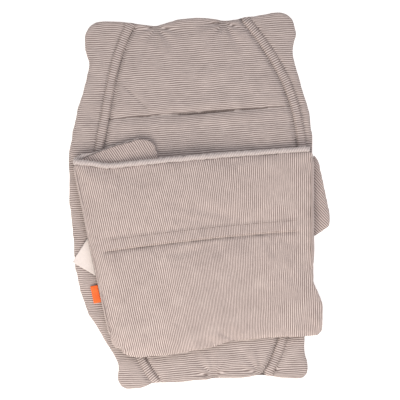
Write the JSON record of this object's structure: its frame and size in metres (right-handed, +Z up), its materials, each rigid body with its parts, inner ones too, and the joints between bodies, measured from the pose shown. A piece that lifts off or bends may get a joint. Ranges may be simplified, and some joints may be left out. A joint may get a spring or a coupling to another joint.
{
  "type": "padded baby wrap",
  "caption": "Padded striped-cotton baby wrap lying folded flat: lobed back panel with edge bands, and a wide wing folded over it with its end tucked under.",
  "frame": {"origin": "middle of the footprint, on the surface that the folded wrap lies on", "axes": "+X to the right across the back panel, +Y along its length towards the head end, +Z up out of the surface"},
  "size_m": [0.4192, 0.6034, 0.0364],
  "materials": {
    "striped_cotton": "matte",
    "wadding": "matte",
    "rolled_cotton": "matte",
    "cotton_thread": "matte",
    "label_ribbon": "satin",
    "tab_ribbon": "satin"
  },
  "bodies": {
    "back": {"back_lower_cloth": "striped_cotton", "back_padding": "wadding", "head_cloth": "striped_cotton", "seat_cloth": "striped_cotton", "left_side_cloth": "striped_cotton", "right_side_cloth": "striped_cotton", "left_band": "striped_cotton", "right_band": "striped_cotton", "left_band_stitching": "cotton_thread", "right_band_stitching": "cotton_thread", "cross_seam_stitching": "cotton_thread", "tab_upper_cloth": "striped_cotton", "tab_lower_cloth": "striped_cotton", "tab_padding": "wadding", "joining_strip": "striped_cotton"},
    "wing": {"wing_outer_cloth": "striped_cotton", "wing_inner_cloth": "striped_cotton", "wing_padding": "wadding", "wing_rolled_edge": "rolled_cotton", "wing_pleat": "striped_cotton", "wing_pleat_stitching": "cotton_thread"},
    "wing_end": {"end_upper_cloth": "striped_cotton", "end_lower_cloth": "striped_cotton", "end_padding": "wadding", "end_rolled_edge": "rolled_cotton"},
    "care_label": {"care_label": "label_ribbon"},
    "side_tab": {"side_tab": "tab_ribbon"}
  },
  "joints": [
    {"name": "wing_fold", "type": "hinge", "parent": "back", "child": "wing", "pos_m": [0.18558, 0, 0.0208], "axis": [0, 1, 0], "range_deg": [0, 178]},
    {"name": "end_fold", "type": "hinge", "parent": "wing", "child": "wing_end", "pos_m": [-0.20442, 0.0598, 0.0256], "axis": [-0.2096, 0.9778, 0], "range_deg": [0, 178]},
    {"name": "label_lift", "type": "hinge", "parent": "back", "child": "care_label", "pos_m": [-0.18041, -0.05983, 0.01465], "axis": [-0.2096, 0.9778, 0], "range_deg": [0, 85]},
    {"name": "side_tab_lift", "type": "hinge", "parent": "back", "child": "side_tab", "pos_m": [-0.18041, -0.05983, 0.015], "axis": [-0.2096, 0.9778, 0], "range_deg": [0, 70]}
  ],
  "couplings": [
    {"joint": "end_fold", "follows": "wing_fold", "ratio": 1}
  ]
}
